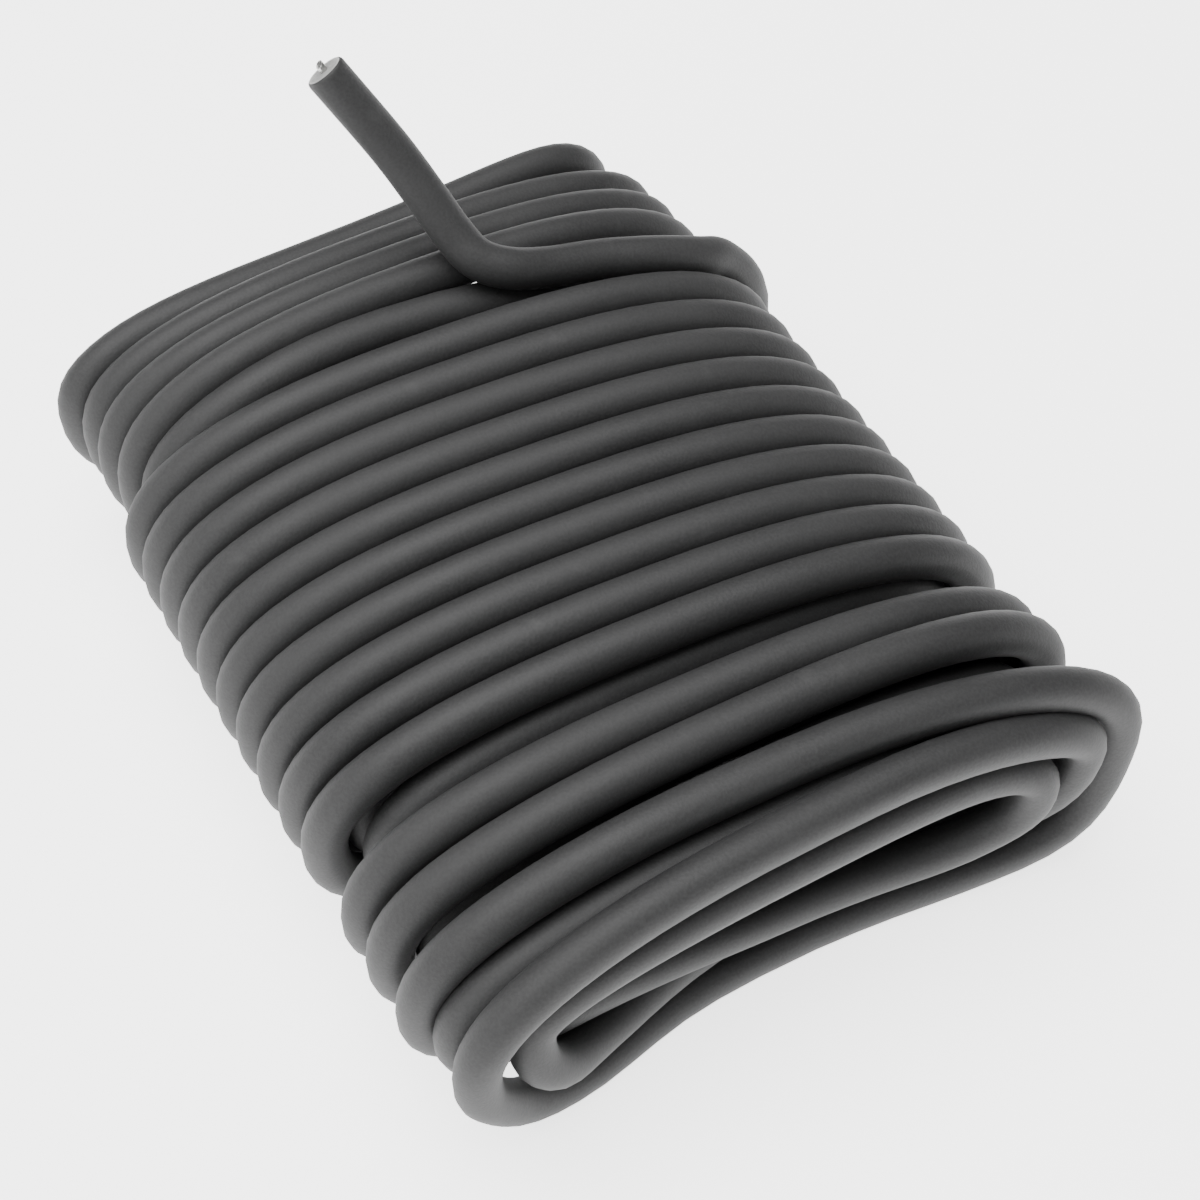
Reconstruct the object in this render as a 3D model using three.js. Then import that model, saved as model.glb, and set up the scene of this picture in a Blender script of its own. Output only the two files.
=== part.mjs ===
// A hank of rubber insulated steel wire: one length of wire, wound flat in two layers.
// The wire starts at a free end that stands up over the turns at -X. From there the outer layer runs
// to the loose turns at +X, the wire drops inside, and the inner layer runs back to -X, where its
// last turns come out from under the outer layer and end the hank.
// Millimetres. X is the winding's axis, Y lies across the turns and Z is up. The hank lies on its
// flat side, and the origin is on the floor, on the flat underside of a turn in the middle.
import * as THREE from "three";

// The wire
const WIRE_DIAMETER = 5.8;
const CORE_DIAMETER = 1.2;
const CORE_STUB = 1.1; // how far the steel core stands out of a cut end
const RUBBER_COLOR = 0x4b4b4c;
const STEEL_COLOR = 0xb9b9b4;

// One turn of the outer layer
const HANK_WIDTH = 97; // along Y
const HANK_HEIGHT = 44; // along Z
const OUTLINE_ACROSS = 2.5; // exponents of the outline: 2 is an ellipse, more is squarer
const OUTLINE_UP = 2.4;

// How the turns lie. A turn is counted from its -Y end: 0.25 is the middle of its top, 0.5 its +Y
// end and 0.75 the middle of its underside.
const TURN_GAP = 0.33; // clear space between turns that lie side by side
const LAYER_GAP = 0.4; // clear space between the two layers
const ORIGIN_TURN = 5.75; // the underside that lies on the origin
// A turn, and the extra space beyond it in wire diameters
const SLIPPED_TURNS = [[10, 0.74], [12, 0.16], [13, 0.15]];
const LEAN = 3; // how far the middle turns' +Y ends lean along X
const LEAN_STARTS = -60; // the places along X between which turns lean
const LEAN_ENDS = 50;
const LAYER_DROP_TURN = 14.5; // where the wire goes from the outer layer to the inner one
const LOOSE_INNER_TURNS = 1.75; // the first inner turns, which lie half on each other
const LOOSE_INNER_PITCH = 3.2;
const INNER_GAP = 0.54; // clear space between the other inner turns
const LAYER_RISE_TURN = 30.06; // where it comes out again
const LAYER_CHANGE_TURNS = 0.35; // how much of a turn each change takes
const SAGGING_TURN = 31.25; // the last turns, which nothing lies under, sag from here
const SAG_PER_TURN = 2.3;
const DUCKING_TURN = 30.4; // where it dips under the free end, and over how many turns on either side
const DUCKING_TURNS = 0.3;
const LAST_TURN = 34.78;

// Where the wire lies out of the neat winding, chosen by hand: the turn where it is pushed furthest
// and how many turns the push takes to fade out on either side, then the push along X, across and
// up, in wire diameters
const NUDGES = [
  [0.5, 0.3, 0, 0.55, 0],
  [12.42, 0.3, 0, 0, 0.26],
  [13.5, 0.3, 0.93, 0.53, 0.17],
  [13.61, 0.1, 0.17, 0.34, -0.52],
  [13.76, 0.09, -0.33, 0, 0],
  [13.87, 0.09, 0, -0.17, -0.43],
  [14, 0.3, 0.69, 0.29, 0],
  [14.25, 0.25, 0, 0, -0.38],
  [14.4, 0.12, 0.07, 0, -0.26],
  [14.5, 0.2, -0.14, -0.28, 0],
  [14.58, 0.1, 0, 0, -0.34],
  [14.71, 0.22, -1.46, 0, 0],
  [14.87, 0.1, 0, 0, -0.28],
  [14.95, 0.1, 0.28, 0, 0],
  [15, 0.25, 0, 0.55, 0],
  [15.25, 0.4, 0.31, 0, -0.4],
  [15.4, 0.1, 0, -0.26, -0.21],
  [15.52, 0.2, 0.52, -0.83, 0.34],
  [15.65, 0.1, 0, -0.34, 0.14],
  [15.8, 0.19, -0.26, 0, 0.95],
  [15.92, 0.1, 0, -0.25, 0],
  [16, 0.25, -0.02, -0.57, 0],
  [16.15, 0.25, -0.05, 0, 0.09],
  [16.57, 0.12, 0.09, -0.1, 0],
  [16.72, 0.28, -0.5, 0, 1.07],
  [16.93, 0.12, -0.2, 0, 0],
  [17.06, 0.2, -0.08, 0, 0],
  [17.7, 0.25, -0.1, 0, 0],
  [17.94, 0.15, -0.05, 0, 0],
  [18.7, 0.25, -0.09, 0, 0],
  [30.1, 0.2, -0.09, 0, 0],
  [30.33, 0.1, 0, 0, -0.15],
  [31, 0.3, 0, 0.52, 0],
  [31.5, 0.3, 0, -0.26, 0],
  [32, 0.3, 0, 0.43, 0],
  [32.5, 0.3, 0, -0.26, 0],
  [33, 0.3, 0, 0.43, 0],
  [33.5, 0.35, 0, -0.34, 0],
  [34, 0.3, 0, 0.17, 0],
  [34.28, 0.18, 0, 0, -0.26],
  [34.42, 0.2, -0.17, 0, 0.4],
  [34.5, 0.4, 0, -0.95, 0],
];

// The free end
const FIRST_TURN = 0.47; // where the free end becomes the hank
const JOINT_GAP = 0.35; // clear space between the free end, the hank and the core stubs
const JOINT_STRAIGHT = 2; // how far it runs on straight from the hank
// Its route from there to its cut end, chosen by hand: along X in turns, then across from the
// hank's +Y end and up from its top, both in wire diameters
const FREE_END_ROUTE = [
  [-5.07, -0.74, -1.9],
  [-5.02, -1.52, -1.4],
  [-5.19, -2.67, -1.0],
  [-5.42, -3.98, -0.7],
  [-5.5, -5.34, -0.38],
  [-5.6, -6.29, -0.05],
  [-5.95, -6.93, 0.24],
  [-6.46, -7.24, 0.69],
  [-7.11, -7.55, 1.45],
  [-7.96, -8.02, 2.53],
  [-9.0, -8.95, 4.29],
];

// The fineness of the swept wire
const WIRE_SIDES = 8;
const CORE_SIDES = 8;
const STEPS_PER_TURN = 16;
const FREE_END_STEPS = 24;

const WIRE_RADIUS = WIRE_DIAMETER / 2;
const TURN_PITCH = WIRE_DIAMETER + TURN_GAP;
const INNER_PITCH = WIRE_DIAMETER + INNER_GAP;
const LAYER_PITCH = WIRE_DIAMETER + LAYER_GAP;
const X_AXIS = new THREE.Vector3(1, 0, 0);

// A turn has no step at the very middle of its underside, top or ends: the wire is straight between
// the two steps beside each, so the outline there is this much of its full size.
const FLAT_COSINE = Math.cos(Math.PI / STEPS_PER_TURN);
const CENTRE_HEIGHT = HANK_HEIGHT / 2;
const HALF_WIDTH = (HANK_WIDTH / 2 - WIRE_RADIUS) / rounded(FLAT_COSINE, OUTLINE_ACROSS);
const HALF_HEIGHT = (HANK_HEIGHT / 2 - WIRE_RADIUS) / rounded(FLAT_COSINE, OUTLINE_UP);

const rubber = new THREE.MeshStandardMaterial({ color: RUBBER_COLOR, roughness: 0.85, metalness: 0 });
const steel = new THREE.MeshStandardMaterial({ color: STEEL_COLOR, roughness: 0.35, metalness: 1 });

/** Rises smoothly from 0 to 1 while turn passes middle. */
function change(turn, middle, length) {
  return THREE.MathUtils.smoothstep(turn, middle - length / 2, middle + length / 2);
}

/** Where a turn lies along X. */
function turnX(turn) {
  const outerTurn = Math.min(turn, LAYER_DROP_TURN);
  let x = TURN_PITCH * (outerTurn - ORIGIN_TURN);
  for (const [slippedTurn, space] of SLIPPED_TURNS) {
    x += space * WIRE_DIAMETER * THREE.MathUtils.clamp((outerTurn - slippedTurn) * 2 - 1, 0, 1);
  }
  const innerTurns = Math.max(turn - LAYER_DROP_TURN, 0);
  const looseTurns = Math.min(innerTurns, LOOSE_INNER_TURNS);
  return x - looseTurns * LOOSE_INNER_PITCH - (innerTurns - looseTurns) * INNER_PITCH;
}

/** How far a turn's centreline lies inside the outer layer's. */
function turnInset(turn) {
  const inside = change(turn, LAYER_DROP_TURN, LAYER_CHANGE_TURNS)
    - change(turn, LAYER_RISE_TURN, LAYER_CHANGE_TURNS);
  return LAYER_PITCH * (inside + nearness(turn, DUCKING_TURN, DUCKING_TURNS));
}

/** 1 at a middle, and smoothly down to 0 at reach on either side of it. */
function nearness(turn, middle, reach) {
  return Math.cos((Math.PI / 2) * Math.min(Math.abs(turn - middle) / reach, 1)) ** 2;
}

/** How far the +Y end of the turn at x leans along X. */
function lean(x) {
  return LEAN * Math.max(1 - (x / (x < 0 ? LEAN_STARTS : LEAN_ENDS)) ** 2, 0);
}

/** Raises a cosine or sine to the outline's exponent and keeps its sign. */
function rounded(value, exponent) {
  return Math.sign(value) * Math.abs(value) ** (2 / exponent);
}

/** A point of the wound wire's centreline. */
function woundPoint(turn) {
  const angle = Math.PI * (1 - 2 * turn);
  const inset = turnInset(turn);
  const acrossShare = rounded(Math.cos(angle), OUTLINE_ACROSS);
  const rise = (HALF_HEIGHT - inset) * rounded(Math.sin(angle), OUTLINE_UP);
  const sag = SAG_PER_TURN * Math.max(turn - SAGGING_TURN, 0) * Math.max(Math.sin(angle), 0);
  const x = turnX(turn);
  const point = new THREE.Vector3(
    x + lean(x) * acrossShare,
    (HALF_WIDTH - inset) * acrossShare,
    CENTRE_HEIGHT + rise - sag,
  );
  for (const [middle, reach, ...push] of NUDGES) {
    point.addScaledVector(new THREE.Vector3(...push), WIRE_DIAMETER * nearness(turn, middle, reach));
  }
  return point;
}

/** A point of the free end's route, in its place over the hank. */
function routePoint([turns, across, up]) {
  return new THREE.Vector3(
    turns * TURN_PITCH,
    HANK_WIDTH / 2 + across * WIRE_DIAMETER,
    HANK_HEIGHT + up * WIRE_DIAMETER,
  );
}

/** The direction from one point to another. */
function direction(from, to) {
  return to.clone().sub(from).normalize();
}

/** A centreline whose wire section keeps one side facing along X, so that its flats stay level. */
class WireCurve extends THREE.Curve {
  /** at gives the centreline's point for a value from 0 to 1. */
  constructor(at) {
    super();
    this.at = at;
  }

  getPoint(t, target = new THREE.Vector3()) {
    return target.copy(this.at(t));
  }

  /** Even steps in t, which fall in the same places on every turn. */
  getSpacedPoints(divisions) {
    return this.getPoints(divisions);
  }

  /** Halves each bend between two steps, and stretches the normal there as a mitre does. */
  computeFrenetFrames(divisions) {
    const points = this.getPoints(divisions);
    const straights = points.slice(1).map((point, i) => direction(points[i], point));
    const frames = { tangents: [], normals: [], binormals: [] };
    for (let i = 0; i <= divisions; i++) {
      const before = straights[Math.max(i - 1, 0)];
      const after = straights[Math.min(i, divisions - 1)];
      const tangent = before.clone().add(after).normalize();
      const binormal = X_AXIS.clone().addScaledVector(tangent, -tangent.x).normalize();
      const mitre = 1 / tangent.dot(before);
      frames.tangents.push(tangent);
      frames.binormals.push(binormal);
      frames.normals.push(binormal.clone().cross(tangent).multiplyScalar(mitre));
    }
    return frames;
  }
}

/** A regular section that measures diameter across its flats, two of which are level. */
function section(diameter, sides) {
  const corner = diameter / 2 / Math.cos(Math.PI / sides);
  const points = Array.from({ length: sides }, (_, i) => {
    const angle = (2 * Math.PI * (i + 0.5)) / sides;
    return new THREE.Vector2(corner * Math.cos(angle), corner * Math.sin(angle));
  });
  return new THREE.Shape(points);
}

/** The wire swept along a centreline. */
function sweptWire(name, curve, steps, diameter, sides, material) {
  const geometry = new THREE.ExtrudeGeometry(section(diameter, sides), { extrudePath: curve, steps });
  const mesh = new THREE.Mesh(geometry, material);
  mesh.name = name;
  return mesh;
}

/** The steel core where it stands out of a cut face. */
function coreStub(name, faceCentre, outward) {
  const stub = new THREE.CylinderGeometry(CORE_DIAMETER / 2, CORE_DIAMETER / 2, CORE_STUB, CORE_SIDES);
  const mesh = new THREE.Mesh(stub, steel);
  mesh.name = name;
  mesh.position.copy(faceCentre).addScaledVector(outward, JOINT_GAP + CORE_STUB / 2);
  mesh.quaternion.setFromUnitVectors(new THREE.Vector3(0, 1, 0), outward);
  return mesh;
}

/** The step nearest to a turn. Steps fall half a step beside each quarter of a turn. */
function nearestStep(turn) {
  return Math.round(turn * STEPS_PER_TURN - 0.5) + 0.5;
}

const firstStep = nearestStep(FIRST_TURN);
const stepCount = nearestStep(LAST_TURN) - firstStep;
const hankCurve = new WireCurve((t) => woundPoint((firstStep + t * stepCount) / STEPS_PER_TURN));
const hankStart = hankCurve.getPoint(0);
const hankEnd = hankCurve.getPoint(1);
const hankStartOutward = direction(hankCurve.getPoint(1 / stepCount), hankStart);
const hankEndOutward = direction(hankCurve.getPoint(1 - 1 / stepCount), hankEnd);

const freeEndStart = hankStart.clone().addScaledVector(hankStartOutward, JOINT_GAP);
const freeEndSpline = new THREE.CatmullRomCurve3([
  freeEndStart,
  freeEndStart.clone().addScaledVector(hankStartOutward, JOINT_STRAIGHT),
  ...FREE_END_ROUTE.map(routePoint),
]);
const freeEndCurve = new WireCurve((t) => freeEndSpline.getPoint(t));
const freeEndTip = freeEndCurve.getPoint(1);
const freeEndOutward = direction(freeEndCurve.getPoint(1 - 1 / FREE_END_STEPS), freeEndTip);

const hank = new THREE.Group();
hank.add(
  sweptWire("wound_hank", hankCurve, stepCount, WIRE_DIAMETER, WIRE_SIDES, rubber),
  sweptWire("free_end", freeEndCurve, FREE_END_STEPS, WIRE_DIAMETER, WIRE_SIDES, rubber),
  coreStub("steel_core_free_end", freeEndTip, freeEndOutward),
  coreStub("steel_core_hank_end", hankEnd, hankEndOutward),
);

export default hank;
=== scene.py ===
"""The looks of a hank of rubber insulated steel wire, built around its fixed frame."""

import logging
import math
from dataclasses import dataclass, field
from enum import Enum

import bmesh
import bpy
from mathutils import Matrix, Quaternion, Vector


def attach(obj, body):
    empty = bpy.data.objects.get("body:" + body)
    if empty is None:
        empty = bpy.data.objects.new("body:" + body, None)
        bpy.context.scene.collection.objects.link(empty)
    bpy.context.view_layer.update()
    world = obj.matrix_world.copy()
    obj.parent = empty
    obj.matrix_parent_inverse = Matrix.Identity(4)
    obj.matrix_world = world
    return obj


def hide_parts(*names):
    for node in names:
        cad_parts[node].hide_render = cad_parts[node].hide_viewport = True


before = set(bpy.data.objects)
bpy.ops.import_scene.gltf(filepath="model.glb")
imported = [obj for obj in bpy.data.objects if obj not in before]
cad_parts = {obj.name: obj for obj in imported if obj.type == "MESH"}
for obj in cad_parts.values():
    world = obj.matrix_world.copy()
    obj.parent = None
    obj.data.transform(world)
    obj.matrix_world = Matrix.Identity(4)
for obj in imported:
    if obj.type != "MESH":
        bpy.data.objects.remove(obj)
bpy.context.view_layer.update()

log = logging.getLogger("wire_hank")

BODY = "root"
MM = 0.001
PHOTO_SIZE_PX = 1200
WIRE_UV = "along_and_around"

Color = tuple[float, float, float]
NodeInput = bpy.types.NodeSocket | float | Color
Station = tuple[Vector, Vector, float]
Ring = list[bmesh.types.BMVert]


class WireEnd(Enum):
    """One of the wire's two cut ends: where it is in the list of the wire's points, and its name."""

    FREE = (0, "free_end")
    HIDDEN = (-1, "hank_end")

    @property
    def index(self) -> int:
        """Place of the end's point in the list of points."""
        return self.value[0]

    @property
    def label(self) -> str:
        """The end's name as the CAD nodes give it."""
        return self.value[1]


class Layer(Enum):
    """What a face of the jacket is: its extruded skin or one of its cut ends."""

    SKIN = 0
    CUT = 1


def smooth_step(value: float, middle: float, length: float) -> float:
    """Rise smoothly from 0 to 1 while a value passes a middle.

    Args:
        value: The value that passes.
        middle: Where the rise is half done.
        length: How long the rise takes.

    Returns:
        The risen amount, from 0 to 1.
    """
    t = min(max((value - middle) / length + 0.5, 0.0), 1.0)
    return t * t * (3 - 2 * t)


def rounded(value: float, exponent: float) -> float:
    """Raise a cosine or sine to an outline's exponent and keep its sign."""
    return math.copysign(abs(value) ** (2 / exponent), value)


@dataclass(frozen=True)
class Nudge:
    """A place where the wire lies out of the neat winding, pushed there.

    turn is where it is pushed furthest and reach is how many turns it takes to fade out on either
    side. The push is in wire diameters.
    """

    turn: float
    reach: float
    along: float = 0.0
    across: float = 0.0
    up: float = 0.0

    def share(self, turn: float) -> float:
        """Give how much of the push a turn gets, from 0 to 1."""
        off = min(abs(turn - self.turn) / self.reach, 1.0)
        return math.cos(off * math.pi / 2) ** 2


@dataclass
class Winding:
    """The route of the wire, in millimetres: free end, outer layer, inner layer, hidden end.

    A turn is counted from its -Y end: 0.25 is the middle of its top, 0.5 its +Y end and 0.75 the
    middle of its underside.
    """

    wire_diameter: float = 5.8
    width: float = 97.0
    height: float = 44.0
    # A turn's outline seen along X: an exponent of 2 is an ellipse, and a larger one is squarer
    outline_across: float = 2.5
    outline_up: float = 2.4
    turn_gap: float = 0.33
    layer_gap: float = 0.4
    # The turn that lies at X = 0
    origin_turn: float = 5.75
    # Outer turns that slipped away from the one before, and how far, in wire diameters
    slipped_turns: tuple[tuple[float, float], ...] = ((10, 0.74), (12, 0.16), (13, 0.15))
    slip_starts: float = 0.5
    slip_takes: float = 0.5
    # How far the turns lean along X at their +Y end, and the two places where they stand straight
    lean: float = 3.0
    lean_starts: float = -60.0
    lean_ends: float = 50.0
    layer_drop_turn: float = 14.5
    loose_inner_turns: float = 1.75
    loose_inner_pitch: float = 3.2
    inner_gap: float = 0.54
    layer_rise_turn: float = 30.06
    layer_change_turns: float = 0.35
    sagging_turn: float = 31.25
    sag_per_turn: float = 2.3
    # Where the wire ducks under the free end, and how many turns it takes on either side
    ducking_turn: float = 30.42
    ducking_turns: float = 0.26
    first_turn: float = 0.47
    last_turn: float = 34.78
    # The free end from the hank to its tip: turns along X, then wire diameters past the +Y side
    # and above the top
    free_end_route: tuple[tuple[float, float, float], ...] = (
        (-5.07, -0.74, -1.9),
        (-5.02, -1.52, -1.4),
        (-5.19, -2.67, -1.0),
        (-5.42, -3.98, -0.7),
        (-5.5, -5.34, -0.38),
        (-5.6, -6.29, -0.05),
        (-5.95, -6.93, 0.24),
        (-6.46, -7.24, 0.69),
        (-7.11, -7.55, 1.45),
        (-7.96, -8.02, 2.53),
        (-9.0, -8.95, 4.29),
    )
    nudges: tuple[Nudge, ...] = (
        # The first turn stands out where the free end joins it
        Nudge(0.5, 0.3, across=0.55),
        # The last outer turns and their way down into the inner layer
        Nudge(12.42, 0.3, up=0.26),
        Nudge(13.5, 0.3, along=0.93, across=0.53, up=0.17),
        Nudge(13.61, 0.1, along=0.17, across=0.34, up=-0.52),
        Nudge(13.76, 0.09, along=-0.33),
        Nudge(13.87, 0.09, across=-0.17, up=-0.43),
        Nudge(14.0, 0.3, along=0.69, across=0.29),
        Nudge(14.25, 0.25, up=-0.38),
        Nudge(14.4, 0.12, along=0.07, up=-0.26),
        Nudge(14.46, 0.12, along=0.06, across=0.14, up=0.1),
        Nudge(14.5, 0.2, along=-0.14, across=-0.28),
        Nudge(14.58, 0.1, up=-0.34),
        Nudge(14.71, 0.22, along=-1.46),
        Nudge(14.87, 0.1, up=-0.28),
        Nudge(14.95, 0.1, along=0.28),
        # The loose inner turns that are seen at the open end
        Nudge(15.0, 0.25, across=0.55),
        Nudge(15.25, 0.4, along=0.31, up=-0.4),
        Nudge(15.4, 0.14, across=-0.15, up=-0.16),
        Nudge(15.52, 0.2, along=0.52, across=-0.83, up=0.34),
        Nudge(15.65, 0.1, across=-0.34, up=0.14),
        Nudge(15.8, 0.19, along=-0.26, up=0.95),
        Nudge(15.92, 0.2, across=-0.17),
        Nudge(16.0, 0.25, along=-0.02, across=-0.57),
        Nudge(16.15, 0.25, along=-0.05, up=0.09),
        Nudge(16.57, 0.2, along=0.07, across=-0.08),
        Nudge(16.72, 0.28, along=-0.5, up=1.07),
        Nudge(16.93, 0.12, along=-0.2),
        Nudge(17.06, 0.2, along=-0.08),
        # Hidden inner turns, kept clear of one another
        Nudge(17.7, 0.25, along=-0.1),
        Nudge(17.94, 0.15, along=-0.05),
        Nudge(18.7, 0.25, along=-0.09),
        # The turn that the free end crosses
        Nudge(30.1, 0.2, along=-0.09),
        Nudge(30.26, 0.12, along=-0.17),
        Nudge(30.33, 0.1, up=-0.25),
        # The last outer turns, which lie unevenly, and the hidden end
        Nudge(31.0, 0.3, across=0.52),
        Nudge(31.5, 0.3, across=-0.26),
        Nudge(32.0, 0.3, across=0.43),
        Nudge(32.5, 0.3, across=-0.26),
        Nudge(33.0, 0.3, across=0.43),
        Nudge(33.5, 0.35, across=-0.34),
        Nudge(34.0, 0.3, across=0.17),
        Nudge(34.28, 0.18, up=-0.26),
        Nudge(34.42, 0.2, along=-0.17, up=0.4),
        Nudge(34.5, 0.4, across=-0.95),
    )
    # The free end's curve starts as if it came from this much further round the hank
    leads_in_from: float = 0.06
    points_per_turn: int = 60
    points_between_route_points: int = 10

    @property
    def turn_pitch(self) -> float:
        """Distance between two turns that lie side by side."""
        return self.wire_diameter + self.turn_gap

    @property
    def layer_pitch(self) -> float:
        """Distance between the two layers."""
        return self.wire_diameter + self.layer_gap

    def turn_x(self, turn: float) -> float:
        """Give the place of a turn along X."""
        outer = min(turn, self.layer_drop_turn)
        x = self.turn_pitch * (outer - self.origin_turn)
        for slipped, space in self.slipped_turns:
            done = (outer - slipped - self.slip_starts) / self.slip_takes
            x += space * self.wire_diameter * min(max(done, 0.0), 1.0)
        inner = max(turn - self.layer_drop_turn, 0.0)
        loose = min(inner, self.loose_inner_turns)
        inner_pitch = self.wire_diameter + self.inner_gap
        return x - loose * self.loose_inner_pitch - (inner - loose) * inner_pitch

    def turn_inset(self, turn: float) -> float:
        """Give how far a turn lies inside the outer layer."""
        dropped = smooth_step(turn, self.layer_drop_turn, self.layer_change_turns)
        risen = smooth_step(turn, self.layer_rise_turn, self.layer_change_turns)
        off = min(abs(turn - self.ducking_turn) / self.ducking_turns, 1.0)
        ducked = math.cos(off * math.pi / 2) ** 2
        return self.layer_pitch * (dropped - risen + ducked)

    def wound_point(self, turn: float) -> Vector:
        """Give a point of the wound wire's centreline."""
        radius = self.wire_diameter / 2
        angle = math.pi * (1 - 2 * turn)
        inset = self.turn_inset(turn)
        half_width = self.width / 2 - radius - inset
        half_height = self.height / 2 - radius - inset
        y = half_width * rounded(math.cos(angle), self.outline_across)
        rise = half_height * rounded(math.sin(angle), self.outline_up)
        sag = self.sag_per_turn * max(turn - self.sagging_turn, 0.0) * max(math.sin(angle), 0.0)
        point = Vector((self.turn_x(turn), y, self.height / 2 + rise - sag))
        point[0] += self.lean_share(point[0]) * y / half_width
        for nudge in self.nudges:
            share = nudge.share(turn)
            push = Vector((nudge.along, nudge.across, nudge.up))
            point = point + share * self.wire_diameter * push
        return point

    def lean_share(self, x: float) -> float:
        """Give how far along X the turn at x leans at its +Y end."""
        side = self.lean_starts if x < 0 else self.lean_ends
        return self.lean * max(1 - (x / side) ** 2, 0.0)

    def route_point(self, turns: float, across: float, up: float) -> Vector:
        """Give a point of the free end's route, in its place over the hank."""
        return Vector((
            turns * self.turn_pitch,
            self.width / 2 + across * self.wire_diameter,
            self.height + up * self.wire_diameter,
        ))

    def free_end_points(self) -> list[Vector]:
        """Give the free end's points, from the hank to the cut end."""
        knots = [self.wound_point(self.first_turn + lead) for lead in (self.leads_in_from, 0.0)]
        knots += [self.route_point(*place) for place in self.free_end_route]
        knots.append(2 * knots[-1] - knots[-2])
        points = []
        for before, start, end, after in zip(knots, knots[1:], knots[2:], knots[3:]):
            for i in range(self.points_between_route_points):
                t = i / self.points_between_route_points
                points.append(spline_point(before, start, end, after, t))
        points.append(knots[-2])
        return points

    def points(self) -> list[Vector]:
        """Give the whole centreline, from the free end's tip to the hidden end, in metres."""
        count = round((self.last_turn - self.first_turn) * self.points_per_turn)
        wound = [
            self.wound_point(self.first_turn + (i + 1) / self.points_per_turn) for i in range(count)
        ]
        return [point * MM for point in self.free_end_points()[::-1] + wound]


def spline_point(before: Vector, start: Vector, end: Vector, after: Vector, t: float) -> Vector:
    """Give a point of the Catmull-Rom curve between start and end, for t from 0 to 1."""
    return 0.5 * (
        2 * start
        + (end - before) * t
        + (2 * before - 5 * start + 4 * end - after) * t**2
        + (3 * start - before - 3 * end + after) * t**3
    )


@dataclass
class Camera:
    """The photograph's view of the hank."""

    azimuth_deg: float = 60.42
    elevation_deg: float = 51.66
    distance_mm: float = 340.0
    focal_px: float = 2350.0
    target_mm: tuple[float, float, float] = (-8.79, 11.58, -0.59)
    sensor_mm: float = 36.0

    def build(self) -> bpy.types.Object:
        """Add the camera and make it the scene's own.

        Returns:
            The camera object.
        """
        azimuth = math.radians(self.azimuth_deg)
        elevation = math.radians(self.elevation_deg)
        back = Vector((
            math.sin(azimuth) * math.cos(elevation),
            -math.cos(azimuth) * math.cos(elevation),
            math.sin(elevation),
        ))
        data = bpy.data.cameras.new("photo_view")
        data.sensor_width = self.sensor_mm
        data.lens = self.focal_px / PHOTO_SIZE_PX * self.sensor_mm
        camera = bpy.data.objects.new("photo_view", data)
        camera.location = (Vector(self.target_mm) + back * self.distance_mm) * MM
        camera.rotation_euler = back.to_track_quat("Z", "Y").to_euler()
        bpy.context.scene.collection.objects.link(camera)
        bpy.context.scene.camera = camera
        return camera


@dataclass(frozen=True)
class Finish:
    """What every finish has: its name and how rough it is."""

    name: str
    roughness: float

    def start(self, metallic: float = 0.0) -> tuple[bpy.types.Material, bpy.types.NodeTree]:
        """Make the material with its shader.

        Args:
            metallic: 1 for bare metal and 0 for anything else.

        Returns:
            The material and its node tree.
        """
        material = bpy.data.materials.new(self.name)
        material.use_nodes = True
        tree = material.node_tree
        shader = tree.nodes["Principled BSDF"]
        shader.inputs["Metallic"].default_value = metallic
        shader.inputs["Roughness"].default_value = self.roughness
        return material, tree


def group_input(group: bpy.types.NodeTree, socket: str) -> bpy.types.NodeSocket:
    """Give the socket inside a group that brings in the value of that name."""
    return group.nodes["Group Input"].outputs[socket]


def new_group(name: str, inputs: dict[str, float], outputs: tuple[str, ...]) -> bpy.types.NodeTree:
    """Make a shader node group that works at a place.

    Args:
        name: The group's name.
        inputs: Its number sockets and their first values.
        outputs: The names of its output values.

    Returns:
        The group, with its input and output nodes.
    """
    group = bpy.data.node_groups.new(name, "ShaderNodeTree")
    group.interface.new_socket("Place", in_out="INPUT", socket_type="NodeSocketVector")
    for socket, value in inputs.items():
        made = group.interface.new_socket(socket, in_out="INPUT", socket_type="NodeSocketFloat")
        made.default_value = value
    for socket in outputs:
        group.interface.new_socket(socket, in_out="OUTPUT", socket_type="NodeSocketFloat")
    group.nodes.new("NodeGroupInput").name = "Group Input"
    group.nodes.new("NodeGroupOutput").name = "Group Output"
    return group


def math_node(
    tree: bpy.types.NodeTree, operation: str, first: NodeInput, second: NodeInput
) -> bpy.types.NodeSocket:
    """Add a Math node.

    Args:
        tree: Where it goes.
        operation: What it does.
        first: A socket or a number.
        second: A socket or a number.

    Returns:
        Its output.
    """
    node = tree.nodes.new("ShaderNodeMath")
    node.operation = operation
    for socket, value in zip(node.inputs, (first, second)):
        if isinstance(value, bpy.types.NodeSocket):
            tree.links.new(value, socket)
        else:
            socket.default_value = value
    return node.outputs[0]


def range_node(
    tree: bpy.types.NodeTree,
    value: bpy.types.NodeSocket,
    start: float,
    end: float,
    low: float,
    high: float,
) -> bpy.types.NodeSocket:
    """Add a Map Range node.

    Args:
        tree: Where it goes.
        value: What it maps.
        start: The value that becomes low.
        end: The value that becomes high.
        low: The least it gives.
        high: The most it gives.

    Returns:
        Its output.
    """
    node = tree.nodes.new("ShaderNodeMapRange")
    tree.links.new(value, node.inputs["Value"])
    for socket, number in zip(("From Min", "From Max", "To Min", "To Max"), (start, end, low, high)):
        node.inputs[socket].default_value = number
    return node.outputs["Result"]


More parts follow.
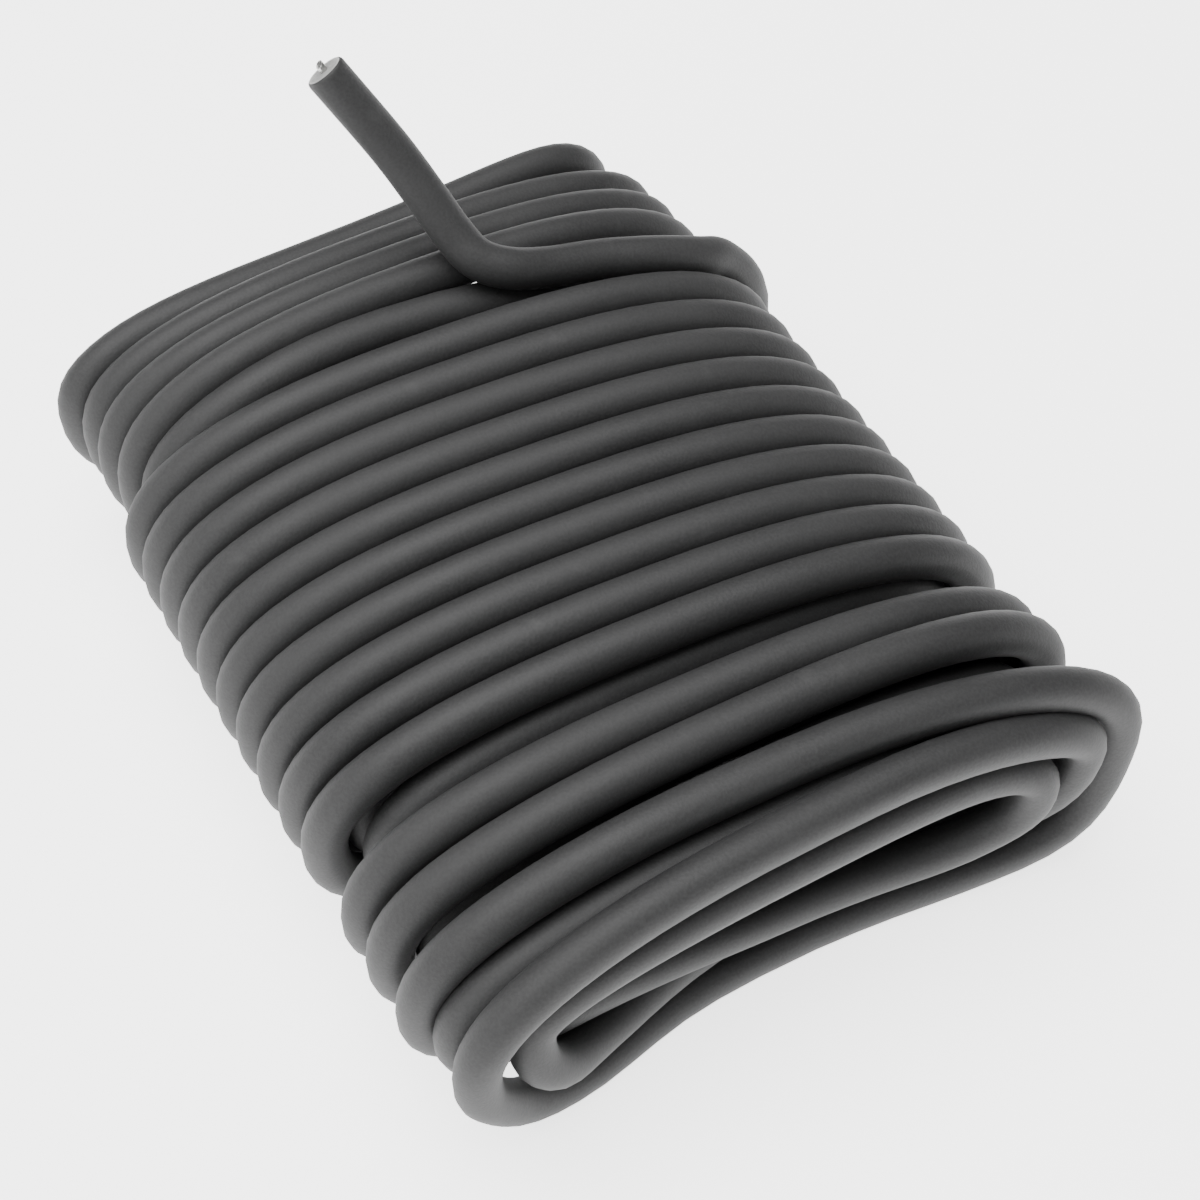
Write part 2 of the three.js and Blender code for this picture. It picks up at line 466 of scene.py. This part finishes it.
def noise_node(
    tree: bpy.types.NodeTree, place: bpy.types.NodeSocket, scale: NodeInput, detail: float
) -> bpy.types.NodeSocket:
    """Add a Noise Texture.

    Args:
        tree: Where it goes.
        place: The coordinates that it reads.
        scale: Its scale, a socket or a number.
        detail: How many finer layers it adds.

    Returns:
        Its value.
    """
    node = tree.nodes.new("ShaderNodeTexNoise")
    tree.links.new(place, node.inputs["Vector"])
    if isinstance(scale, bpy.types.NodeSocket):
        tree.links.new(scale, node.inputs["Scale"])
    else:
        node.inputs["Scale"].default_value = scale
    node.inputs["Detail"].default_value = detail
    return node.outputs["Fac"]


def mix_colors(
    tree: bpy.types.NodeTree, mask: bpy.types.NodeSocket, first: NodeInput, second: NodeInput
) -> bpy.types.NodeSocket:
    """Mix two colours by a mask.

    Args:
        tree: Where the node goes.
        mask: 0 for the first colour and 1 for the second.
        first: A socket or a colour.
        second: A socket or a colour.

    Returns:
        The mixed colour.
    """
    node = tree.nodes.new("ShaderNodeMix")
    node.data_type = "RGBA"
    tree.links.new(mask, node.inputs["Factor"])
    colors = [socket for socket in node.inputs if socket.type == "RGBA"]
    for socket, value in zip(colors, (first, second)):
        if isinstance(value, bpy.types.NodeSocket):
            tree.links.new(value, socket)
        else:
            socket.default_value = (*value, 1)
    return [socket for socket in node.outputs if socket.type == "RGBA"][0]


@dataclass
class SurfaceEffects:
    """The effects that the finishes share, each built once as a node group."""

    fine_detail: float = 3.0
    wave_detail: float = 2.0
    wave_share: float = 2.5
    tone_range: tuple[float, float] = (0.35, 0.65)
    cloud_detail: float = 4.0
    scuff_detail: float = 5.0
    dust_range: tuple[float, float] = (0.3, 0.75)
    scuff_range: tuple[float, float] = (0.64, 0.74)
    grain: bpy.types.NodeTree = field(init=False)
    dust: bpy.types.NodeTree = field(init=False)

    def __post_init__(self) -> None:
        """Build the groups."""
        self.grain = self.build_grain()
        self.dust = self.build_dust()

    def build_grain(self) -> bpy.types.NodeTree:
        """Make the fine grain of a matt surface: its height, and how light each grain is.

        Returns:
            The node group.
        """
        group = new_group("matt_grain", {"Grains": 2600.0, "Waves": 90.0}, ("Height", "Tone"))
        place = group_input(group, "Place")
        fine = noise_node(group, place, group_input(group, "Grains"), self.fine_detail)
        broad = noise_node(group, place, group_input(group, "Waves"), self.wave_detail)
        output = group.nodes["Group Output"]
        waves = math_node(group, "MULTIPLY", broad, self.wave_share)
        height = math_node(group, "ADD", fine, waves)
        group.links.new(height, output.inputs["Height"])
        tone = range_node(group, fine, *self.tone_range, 0.0, 1.0)
        group.links.new(tone, output.inputs["Tone"])
        return group

    def build_dust(self) -> bpy.types.NodeTree:
        """Make the masks of dust, which lies in clouds, and of scuffs, which are small spots.

        Returns:
            The node group.
        """
        group = new_group("dust_and_scuffs", {"Clouds": 45.0, "Scuffs": 240.0}, ("Dust", "Scuff"))
        place = group_input(group, "Place")
        clouds = noise_node(group, place, group_input(group, "Clouds"), self.cloud_detail)
        scuffs = noise_node(group, place, group_input(group, "Scuffs"), self.scuff_detail)
        output = group.nodes["Group Output"]
        dusty = range_node(group, clouds, *self.dust_range, 0.0, 1.0)
        scuffed = range_node(group, scuffs, *self.scuff_range, 0.0, 1.0)
        group.links.new(dusty, output.inputs["Dust"])
        group.links.new(scuffed, output.inputs["Scuff"])
        return group

    def place(
        self, tree: bpy.types.NodeTree, group: bpy.types.NodeTree, **values: float
    ) -> bpy.types.Node:
        """Put one of the groups into a material, on the piece's own coordinates.

        Args:
            tree: The material's nodes.
            group: The group.
            values: The group's numbers, by name.

        Returns:
            The group's node.
        """
        node = tree.nodes.new("ShaderNodeGroup")
        node.node_tree = group
        coordinates = tree.nodes.new("ShaderNodeTexCoord")
        tree.links.new(coordinates.outputs["Object"], node.inputs["Place"])
        for name, value in values.items():
            node.inputs[name].default_value = value
        return node


def bump(tree: bpy.types.NodeTree, height: bpy.types.NodeSocket, depth: float) -> None:
    """Give a material's shader a bump.

    Args:
        tree: The material's nodes.
        height: The height that the bump follows.
        depth: How deep it is, in metres.
    """
    node = tree.nodes.new("ShaderNodeBump")
    node.inputs["Distance"].default_value = depth
    tree.links.new(height, node.inputs["Height"])
    tree.links.new(node.outputs["Normal"], tree.nodes["Principled BSDF"].inputs["Normal"])


@dataclass(frozen=True)
class MattRubber(Finish):
    """Dark grey extruded rubber: a fine grain, faint lines along the wire, and a little dust."""

    name: str = "matt_rubber"
    roughness: float = 0.66
    dust_free_roughness: float = 0.6
    dusty_roughness: float = 0.74
    color: Color = (0.0115, 0.0115, 0.0118)
    light_grain: Color = (0.019, 0.019, 0.0193)
    dust_color: Color = (0.04, 0.04, 0.04)
    dust_share: float = 0.35
    scuff_share: float = 0.3
    line_share: float = 0.25
    line_detail: float = 2.0
    lines_around: float = 26.0
    lines_along: float = 3.0
    grain_depth: float = 0.00004

    def build(self, effects: SurfaceEffects) -> bpy.types.Material:
        """Make the material.

        Args:
            effects: The node groups that it uses.

        Returns:
            The material.
        """
        material, tree = self.start()
        grain = effects.place(tree, effects.grain)
        dust = effects.place(tree, effects.dust)
        lines = self.extrusion_lines(tree)
        color = mix_colors(tree, grain.outputs["Tone"], self.color, self.light_grain)
        dusty = math_node(tree, "MULTIPLY", dust.outputs["Dust"], self.dust_share)
        color = mix_colors(tree, dusty, color, self.dust_color)
        scuffed = math_node(tree, "MULTIPLY", dust.outputs["Scuff"], self.scuff_share)
        color = mix_colors(tree, scuffed, color, self.dust_color)
        shader = tree.nodes["Principled BSDF"]
        tree.links.new(color, shader.inputs["Base Color"])
        rough = range_node(
            tree, dust.outputs["Dust"], 0.0, 1.0, self.dust_free_roughness, self.dusty_roughness
        )
        tree.links.new(rough, shader.inputs["Roughness"])
        height = math_node(tree, "ADD", grain.outputs["Height"], lines)
        bump(tree, height, self.grain_depth)
        return material

    def extrusion_lines(self, tree: bpy.types.NodeTree) -> bpy.types.NodeSocket:
        """Add the lines that the die leaves along the wire.

        Args:
            tree: The material's nodes.

        Returns:
            Their height.
        """
        uv = tree.nodes.new("ShaderNodeUVMap")
        uv.uv_map = WIRE_UV
        mapping = tree.nodes.new("ShaderNodeMapping")
        mapping.inputs["Scale"].default_value = (self.lines_along, self.lines_around, 1.0)
        tree.links.new(uv.outputs["UV"], mapping.inputs["Vector"])
        lines = noise_node(tree, mapping.outputs["Vector"], 1.0, self.line_detail)
        return math_node(tree, "MULTIPLY", lines, self.line_share)


@dataclass(frozen=True)
class CutRubber(Finish):
    """The freshly cut end of the rubber: rougher than the skin and lighter, partly its own cut
    surface and partly painted light on a face turned up to the lamps, with a light rim.
    """

    name: str = "cut_rubber"
    roughness: float = 0.85
    # Light grey face: partly the cut rubber's own colour, partly painted light for a face turned up
    # to the lamps
    color: Color = (0.16, 0.16, 0.158)
    rim_color: Color = (0.42, 0.42, 0.41)
    rim_starts: float = 0.8
    unevenness: float = 0.5
    grain_depth: float = 0.00012

    def build(self, effects: SurfaceEffects) -> bpy.types.Material:
        """Make the material.

        Args:
            effects: The node groups that it uses.

        Returns:
            The material.
        """
        material, tree = self.start()
        grain = effects.place(tree, effects.grain, Grains=3600.0, Waves=700.0)
        dust = effects.place(tree, effects.dust, Clouds=500.0, Scuffs=900.0)
        uv = tree.nodes.new("ShaderNodeUVMap")
        uv.uv_map = WIRE_UV
        split = tree.nodes.new("ShaderNodeSeparateXYZ")
        tree.links.new(uv.outputs["UV"], split.inputs["Vector"])
        rim = range_node(tree, split.outputs["X"], self.rim_starts, 1.0, 0.0, 1.0)
        # The face's colour, partly painted light, grows lighter still towards its rim
        color = mix_colors(tree, rim, self.color, self.rim_color)
        uneven = math_node(tree, "MULTIPLY", dust.outputs["Dust"], self.unevenness)
        color = mix_colors(tree, uneven, color, self.rim_color)
        tree.links.new(color, tree.nodes["Principled BSDF"].inputs["Base Color"])
        bump(tree, grain.outputs["Height"], self.grain_depth)
        return material


@dataclass(frozen=True)
class CutSteel(Finish):
    """Drawn steel, bright where it was nipped off."""

    name: str = "cut_steel"
    roughness: float = 0.32
    color: Color = (0.62, 0.62, 0.6)
    dull_color: Color = (0.36, 0.36, 0.35)
    grain_depth: float = 0.00002

    def build(self, effects: SurfaceEffects) -> bpy.types.Material:
        """Make the material.

        Args:
            effects: The node groups that it uses.

        Returns:
            The material.
        """
        material, tree = self.start(metallic=1.0)
        grain = effects.place(tree, effects.grain, Grains=5200.0, Waves=1200.0)
        dust = effects.place(tree, effects.dust, Clouds=900.0, Scuffs=2400.0)
        color = mix_colors(tree, dust.outputs["Dust"], self.color, self.dull_color)
        tree.links.new(color, tree.nodes["Principled BSDF"].inputs["Base Color"])
        bump(tree, grain.outputs["Height"], self.grain_depth)
        return material


@dataclass(frozen=True)
class Backdrop(Finish):
    """The plain white floor."""

    name: str = "white_floor"
    roughness: float = 0.9
    color: Color = (0.94, 0.94, 0.94)
    glow: float = 2.6

    def build(self) -> bpy.types.Material:
        """Make the material."""
        material, tree = self.start()
        shader = tree.nodes["Principled BSDF"]
        shader.inputs["Base Color"].default_value = (*self.color, 1)
        shader.inputs["Emission Color"].default_value = (1, 1, 1, 1)
        shader.inputs["Emission Strength"].default_value = self.glow
        return material


@dataclass
class RubberJacket:
    """The wire's rubber: one tube along the whole winding, with rounded edges at its cut ends."""

    winding: Winding
    sides: int = 24
    # Rings between the skin and the cut face: how far back from the face, and how far in, in mm
    edge_rings: tuple[tuple[float, float], ...] = (
        (0.6, 0.0),
        (0.3, 0.04),
        (0.1, 0.14),
        (0.0, 0.32),
    )
    # Rings on the cut face: the share of the radius, and how far in the face is dished, in mm
    face_rings: tuple[tuple[float, float], ...] = ((0.62, 0.1), (0.24, 0.04))
    uv: bmesh.types.BMLayerItem = field(init=False)

    def build(
        self, points: list[Vector], skin: bpy.types.Material, cut: bpy.types.Material
    ) -> bpy.types.Object:
        """Make the tube along the points.

        Args:
            points: The wire's centreline, in metres.
            skin: The material of the rubber's skin.
            cut: The material of its cut ends.

        Returns:
            The jacket.
        """
        mesh = bmesh.new()
        self.uv = mesh.loops.layers.uv.new(WIRE_UV)
        stations = self.stations(points)
        rings = self.ring_vertices(mesh, stations)
        along = 0.0
        for i in range(len(rings) - 1):
            step = (stations[i + 1][0] - stations[i][0]).length
            self.bridge(mesh, rings[i], rings[i + 1], (along, along + step), Layer.SKIN)
            along += step
        self.close(mesh, rings[0], stations[0], -1)
        self.close(mesh, rings[-1], stations[-1], 1)
        bmesh.ops.recalc_face_normals(mesh, faces=mesh.faces)
        data = bpy.data.meshes.new("rubber_jacket")
        mesh.to_mesh(data)
        mesh.free()
        for material in (skin, cut):
            data.materials.append(material)
        jacket = bpy.data.objects.new("rubber_jacket", data)
        bpy.context.scene.collection.objects.link(jacket)
        return jacket

    def stations(self, points: list[Vector]) -> list[Station]:
        """Give each ring's centre, direction and radius, the rounded edges among them.

        Args:
            points: The wire's centreline, in metres.

        Returns:
            The rings in order.
        """
        radius = self.winding.wire_diameter / 2 * MM
        inner = []
        for before, point, after in zip(points, points[1:], points[2:]):
            inner.append((point, (after - before).normalized(), radius))
        first = (points[1] - points[0]).normalized()
        last = (points[-1] - points[-2]).normalized()
        start = [
            (points[0] + first * back * MM, first, radius - inset * MM)
            for back, inset in reversed(self.edge_rings)
        ]
        end = [
            (points[-1] - last * back * MM, last, radius - inset * MM)
            for back, inset in self.edge_rings
        ]
        return start + inner + end

    def ring_vertices(
        self, mesh: bmesh.types.BMesh, stations: list[Station]
    ) -> list[Ring]:
        """Make the rings' vertices, with as little twist as the centreline allows.

        Args:
            mesh: The mesh being built.
            stations: Each ring's centre, direction and radius.

        Returns:
            The vertices, ring by ring.
        """
        normal = stations[0][1].orthogonal().normalized()
        rings = []
        for i, (centre, direction, radius) in enumerate(stations):
            if i:
                normal = stations[i - 1][1].rotation_difference(direction) @ normal
                normal = (normal - direction * normal.dot(direction)).normalized()
            ring = []
            for side in range(self.sides):
                turn = Quaternion(direction, math.tau * side / self.sides)
                ring.append(mesh.verts.new(centre + turn @ normal * radius))
            rings.append(ring)
        return rings

    def bridge(
        self,
        mesh: bmesh.types.BMesh,
        first: Ring,
        second: Ring,
        along: tuple[float, float],
        layer: Layer,
    ) -> None:
        """Join two rings with faces.

        Args:
            mesh: The mesh being built.
            first: One ring.
            second: The next ring.
            along: The first UV number at each ring.
            layer: The faces' layer.
        """
        for side in range(self.sides):
            other = (side + 1) % self.sides
            face = mesh.faces.new((first[side], first[other], second[other], second[side]))
            face.smooth = layer is Layer.SKIN
            face.material_index = layer.value
            here, there = side / self.sides, (side + 1) / self.sides
            at_first, at_second = along
            places = ((at_first, here), (at_first, there), (at_second, there), (at_second, here))
            for loop, place in zip(face.loops, places):
                loop[self.uv].uv = place

    def close(
        self,
        mesh: bmesh.types.BMesh,
        rim: Ring,
        station: Station,
        outward: int,
    ) -> None:
        """Close one end with its cut face.

        Args:
            mesh: The mesh being built.
            rim: The ring where the cut face starts.
            station: That ring's centre, direction and radius.
            outward: 1 where the direction points out of the wire and -1 where it points in.
        """
        centre, direction, radius = station
        outer, outer_share = rim, 1.0
        for share, dish in self.face_rings:
            middle = centre - direction * outward * dish * MM
            ring = [mesh.verts.new(middle + (vertex.co - centre) * share) for vertex in rim]
            self.bridge(mesh, outer, ring, (outer_share, share), Layer.CUT)
            outer, outer_share = ring, share
        hub = mesh.verts.new(middle)
        for side in range(self.sides):
            face = mesh.faces.new((outer[side], outer[(side + 1) % self.sides], hub))
            face.material_index = Layer.CUT.value
            for loop in face.loops:
                loop[self.uv].uv = (0.0, side / self.sides)


@dataclass
class SteelCore:
    """The steel core where it stands out of a cut end, nipped off at a slant."""

    diameter: float = 1.2
    stands_out: float = 1.3
    buried: float = 0.5
    sides: int = 20
    slant_deg: float = 24.0
    edge: float = 0.08
    edge_segments: int = 2
    smooth_angle_deg: float = 35.0

    def build(
        self, end: WireEnd, points: list[Vector], steel: bpy.types.Material
    ) -> bpy.types.Object:
        """Make one stub of the core.

        Args:
            end: The wire's end that it stands out of.
            points: The wire's centreline, in metres.
            steel: Its material.

        Returns:
            The stub.
        """
        face = points[end.index]
        inside = points[1] if end is WireEnd.FREE else points[-2]
        outward = (face - inside).normalized()
        length = (self.stands_out + self.buried) * MM
        bpy.ops.object.select_all(action="DESELECT")
        bpy.ops.mesh.primitive_cylinder_add(
            vertices=self.sides, radius=self.diameter / 2 * MM, depth=length
        )
        core = bpy.context.object
        core.name = f"steel_core_at_{end.label}"
        core.data.name = core.name
        self.nip(core, length)
        bevel = core.modifiers.new("nipped_edge", "BEVEL")
        bevel.width = self.edge * MM
        bevel.segments = self.edge_segments
        bevel.limit_method = "ANGLE"
        bpy.ops.object.modifier_apply(modifier=bevel.name)
        core.rotation_mode = "QUATERNION"
        core.rotation_quaternion = outward.to_track_quat("Z", "Y")
        core.location = face + outward * (length / 2 - self.buried * MM)
        bpy.ops.object.transform_apply(location=True, rotation=True, scale=True)
        bpy.ops.object.shade_smooth_by_angle(angle=math.radians(self.smooth_angle_deg))
        core.data.materials.append(steel)
        return core

    def nip(self, core: bpy.types.Object, length: float) -> None:
        """Cut the stub's top at a slant.

        Args:
            core: The upright cylinder.
            length: Its length in metres.
        """
        slant = math.radians(self.slant_deg)
        bpy.ops.object.mode_set(mode="EDIT")
        bpy.ops.mesh.select_all(action="SELECT")
        bpy.ops.mesh.bisect(
            plane_co=(0, 0, length / 2 - math.tan(slant) * self.diameter / 2 * MM),
            plane_no=(math.sin(slant), 0, math.cos(slant)),
            use_fill=True,
            clear_outer=True,
        )
        bpy.ops.object.mode_set(mode="OBJECT")


@dataclass
class StudioLight:
    """A large soft lamp that looks at the hank."""

    name: str
    place: tuple[float, float, float]
    size: float
    watts: float

    def build(self) -> None:
        """Hang the lamp."""
        data = bpy.data.lights.new(self.name, "AREA")
        data.energy = self.watts
        data.size = self.size
        lamp = bpy.data.objects.new(self.name, data)
        lamp.location = self.place
        lamp.rotation_euler = Vector(self.place).to_track_quat("Z", "Y").to_euler()
        bpy.context.scene.collection.objects.link(lamp)


@dataclass
class Studio:
    """The white floor, the lamps and the light that comes from all round."""

    floor_size: float = 5.0
    world_strength: float = 0.2
    lamps: tuple[StudioLight, ...] = (
        StudioLight("overhead_lamp", (-0.15, -0.25, 1.3), 1.4, 44.0),
        StudioLight("front_left_lamp", (0.5, -1.3, 0.7), 1.0, 8.0),
    )

    def build(self) -> None:
        """Set up the studio."""
        bpy.ops.object.select_all(action="DESELECT")
        bpy.ops.mesh.primitive_plane_add(size=self.floor_size)
        floor = bpy.context.object
        floor.name = "floor"
        floor.data.materials.append(Backdrop().build())
        for lamp in self.lamps:
            lamp.build()
        world = bpy.context.scene.world or bpy.data.worlds.new("studio")
        bpy.context.scene.world = world
        world.use_nodes = True
        background = world.node_tree.nodes["Background"]
        background.inputs["Color"].default_value = (1, 1, 1, 1)
        background.inputs["Strength"].default_value = self.world_strength


@dataclass
class WireHank:
    """The whole hank: its rubber jacket and the two ends of its steel core."""

    winding: Winding
    stated_length: float = 6.9

    def build(self) -> None:
        """Build the wire, dress it and log its length and faces."""
        points = self.winding.points()
        length = sum((after - before).length for before, after in zip(points, points[1:]))
        effects = SurfaceEffects()
        skin = MattRubber().build(effects)
        cut = CutRubber().build(effects)
        steel = CutSteel().build(effects)
        jacket = RubberJacket(self.winding).build(points, skin, cut)
        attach(jacket, BODY)
        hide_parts("wound_hank", "free_end")
        log.info("rubber jacket: %.3f m long, %d faces", length, len(jacket.data.polygons))
        cores = [self.core(end, points, steel) for end in WireEnd]

    def core(
        self, end: WireEnd, points: list[Vector], steel: bpy.types.Material
    ) -> bpy.types.Object:
        """Build the core's stub at one end and tie it to the frame.

        Args:
            end: The wire's end.
            points: The wire's centreline, in metres.
            steel: The stub's material.

        Returns:
            The stub.
        """
        core = SteelCore().build(end, points, steel)
        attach(core, BODY)
        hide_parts(f"steel_core_{end.label}")
        log.info("steel core at %s: %d faces", end.label, len(core.data.polygons))
        return core


def main() -> None:
    """Build the view, the hank and the studio, and report each piece."""
    logging.basicConfig(level=logging.INFO, format="%(name)s: %(message)s")
    bpy.ops.object.select_all(action="DESELECT")
    Camera().build()
    log.info("camera: the photograph's view")
    WireHank(Winding()).build()
    Studio().build()
    log.info("studio: floor and lamps")


if __name__ == "__main__":
    main()
